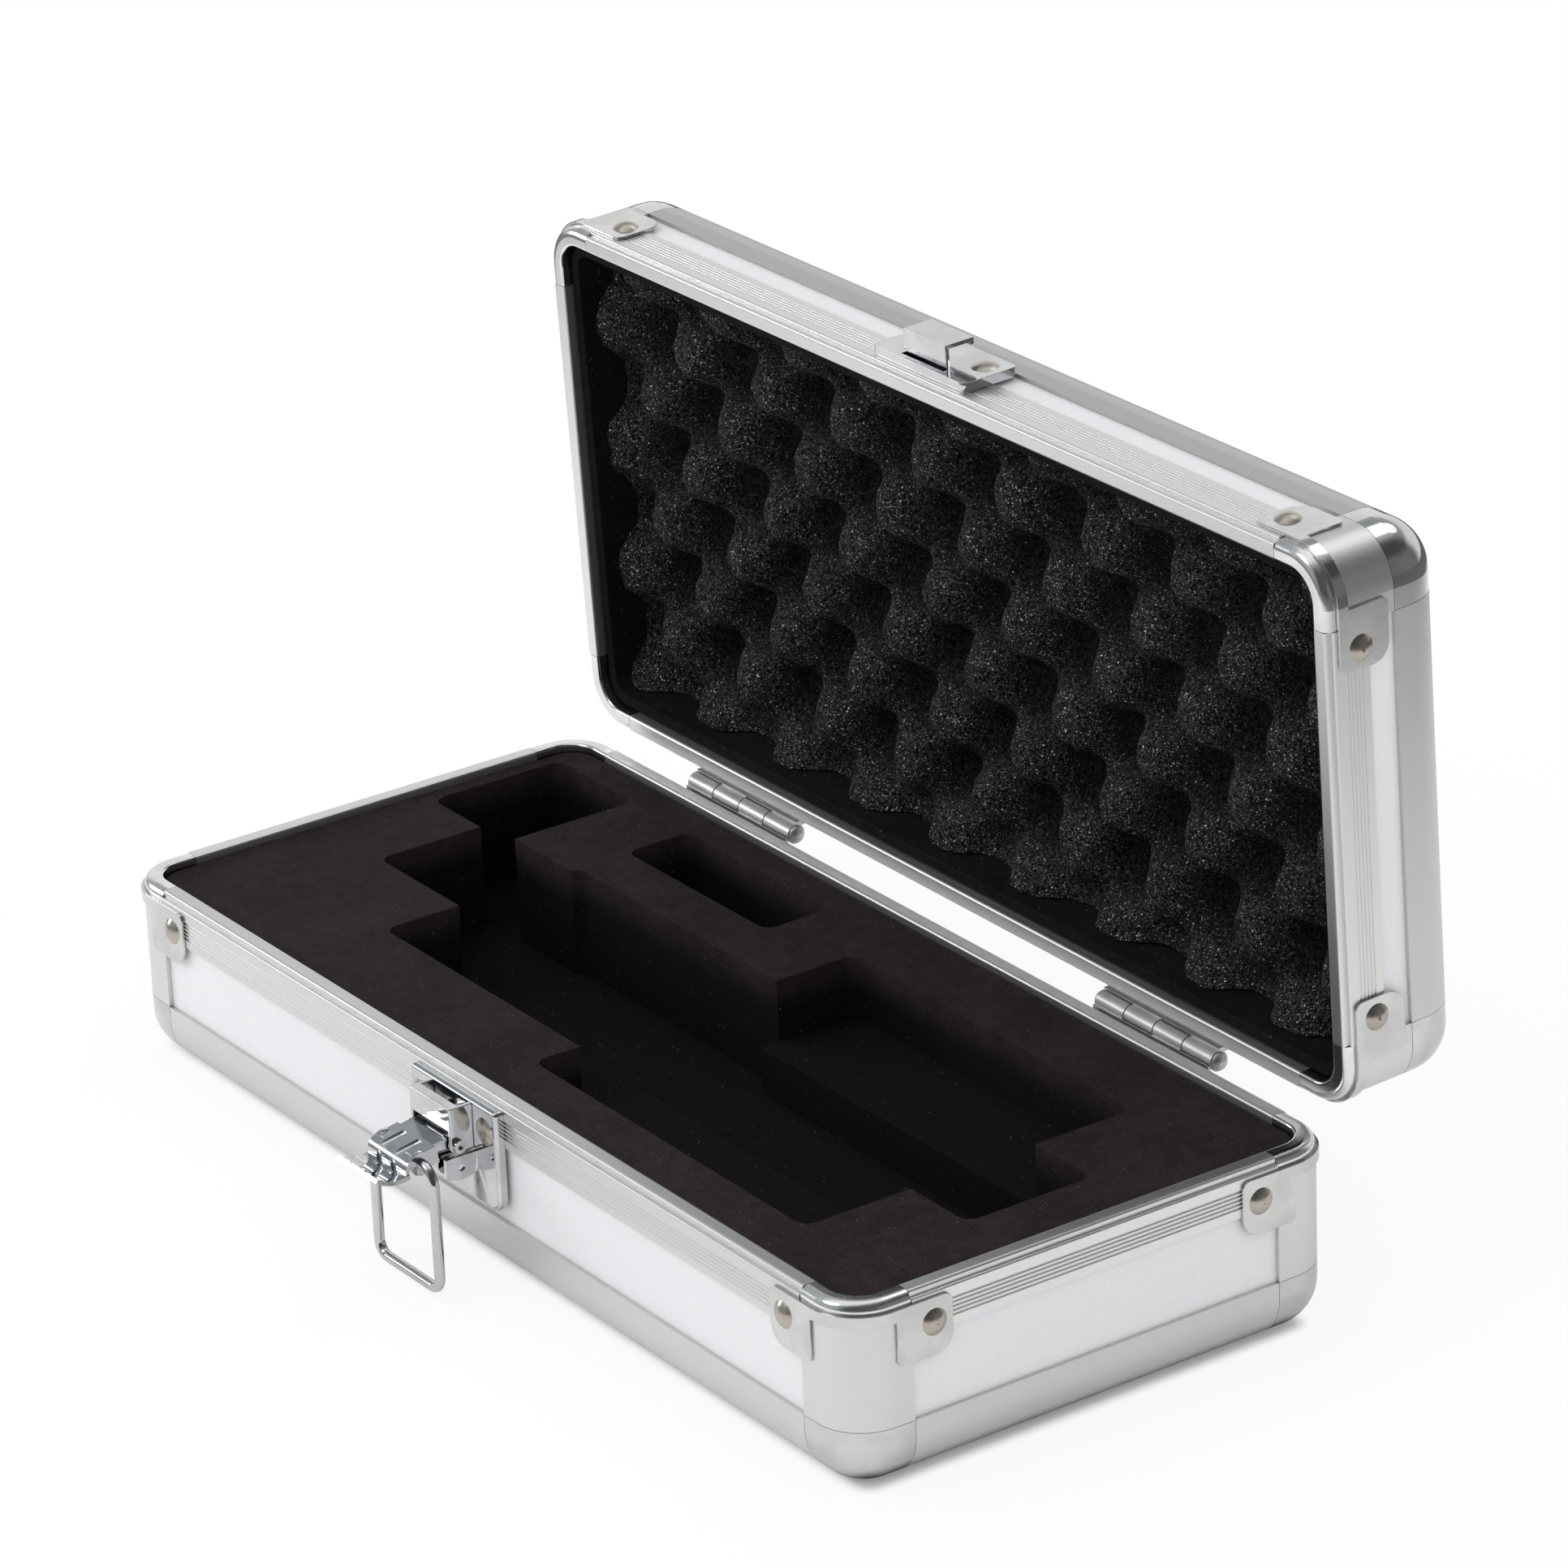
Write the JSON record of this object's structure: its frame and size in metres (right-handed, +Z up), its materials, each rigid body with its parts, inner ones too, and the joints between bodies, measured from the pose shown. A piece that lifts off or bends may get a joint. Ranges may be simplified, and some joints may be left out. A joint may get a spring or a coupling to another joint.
{
  "type": "instrument carry case",
  "caption": "Small aluminium-framed carry case with a hinged lid, a draw latch with wire bail, die-cut foam pockets in the base and egg-crate foam in the lid.",
  "frame": {"origin": "middle of the base's underside, on the table", "axes": "+X along the hinge line to the right, -Y towards the latch, +Z up"},
  "size_m": [0.2636, 0.1731, 0.1667],
  "materials": {
    "panel": "white textured laminate",
    "aluminium": "satin anodised",
    "bright_steel": "bright plated",
    "nickel": "plated, slightly warm",
    "eva_foam": "matt closed-cell foam",
    "crate_foam": "matt open-cell foam"
  },
  "bodies": {
    "base": {"base_bottom_panel": "panel", "base_front_panel": "panel", "base_right_panel": "panel", "base_back_panel": "panel", "base_left_panel": "panel", "base_front_edge_rail": "aluminium", "base_right_edge_rail": "aluminium", "base_back_edge_rail": "aluminium", "base_left_edge_rail": "aluminium", "base_corner_posts": "aluminium", "base_ball_corners": "aluminium", "base_front_rim_rail": "aluminium", "base_right_rim_rail": "aluminium", "base_back_rim_rail": "aluminium", "base_left_rim_rail": "aluminium", "base_rim_corners": "bright_steel", "base_corner_brackets": "aluminium", "base_corner_rivets": "nickel", "base_foam_top": "eva_foam", "base_foam_middle": "eva_foam", "base_foam_floor": "eva_foam", "left_hinge_base_leaf": "bright_steel", "right_hinge_base_leaf": "bright_steel", "left_hinge_pin": "bright_steel", "right_hinge_pin": "bright_steel", "hinge_base_rivets": "nickel", "latch_plate": "bright_steel", "latch_hood": "bright_steel", "lever_pin": "bright_steel", "latch_rivets": "nickel"},
    "lid": {"lid_top_panel": "panel", "lid_front_panel": "panel", "lid_right_panel": "panel", "lid_back_panel": "panel", "lid_left_panel": "panel", "lid_front_edge_rail": "aluminium", "lid_right_edge_rail": "aluminium", "lid_back_edge_rail": "aluminium", "lid_left_edge_rail": "aluminium", "lid_corner_posts": "aluminium", "lid_ball_corners": "aluminium", "lid_front_rim_rail": "aluminium", "lid_right_rim_rail": "aluminium", "lid_back_rim_rail": "aluminium", "lid_left_rim_rail": "aluminium", "lid_rim_corners": "bright_steel", "lid_corner_brackets": "aluminium", "lid_corner_rivets": "nickel", "lid_liner_sheet": "eva_foam", "lid_liner_strip": "eva_foam", "lid_foam_pad": "crate_foam", "left_hinge_lid_leaf": "bright_steel", "right_hinge_lid_leaf": "bright_steel", "hinge_lid_rivets": "nickel", "keeper": "bright_steel", "keeper_rivets": "nickel"},
    "lever": {"latch_lever": "bright_steel", "lever_stud": "bright_steel"},
    "bail": {"latch_bail": "bright_steel"}
  },
  "joints": [
    {"name": "lid_hinge", "type": "hinge", "parent": "base", "child": "lid", "pos_m": [0, 0.06065, 0.04045], "axis": [1, 0, 0], "range_deg": [0, 87.5]},
    {"name": "latch_lever", "type": "hinge", "parent": "base", "child": "lever", "pos_m": [0, -0.0638, 0.0299], "axis": [1, 0, 0], "range_deg": [0, 83.5]},
    {"name": "latch_bail", "type": "hinge", "parent": "lever", "child": "bail", "pos_m": [0, -0.07217, 0.02842], "axis": [1, 0, 0], "range_deg": [-265.27, 0]}
  ],
  "couplings": [
    {"joint": "latch_bail", "follows": "latch_lever", "ratio": -3.1709}
  ]
}
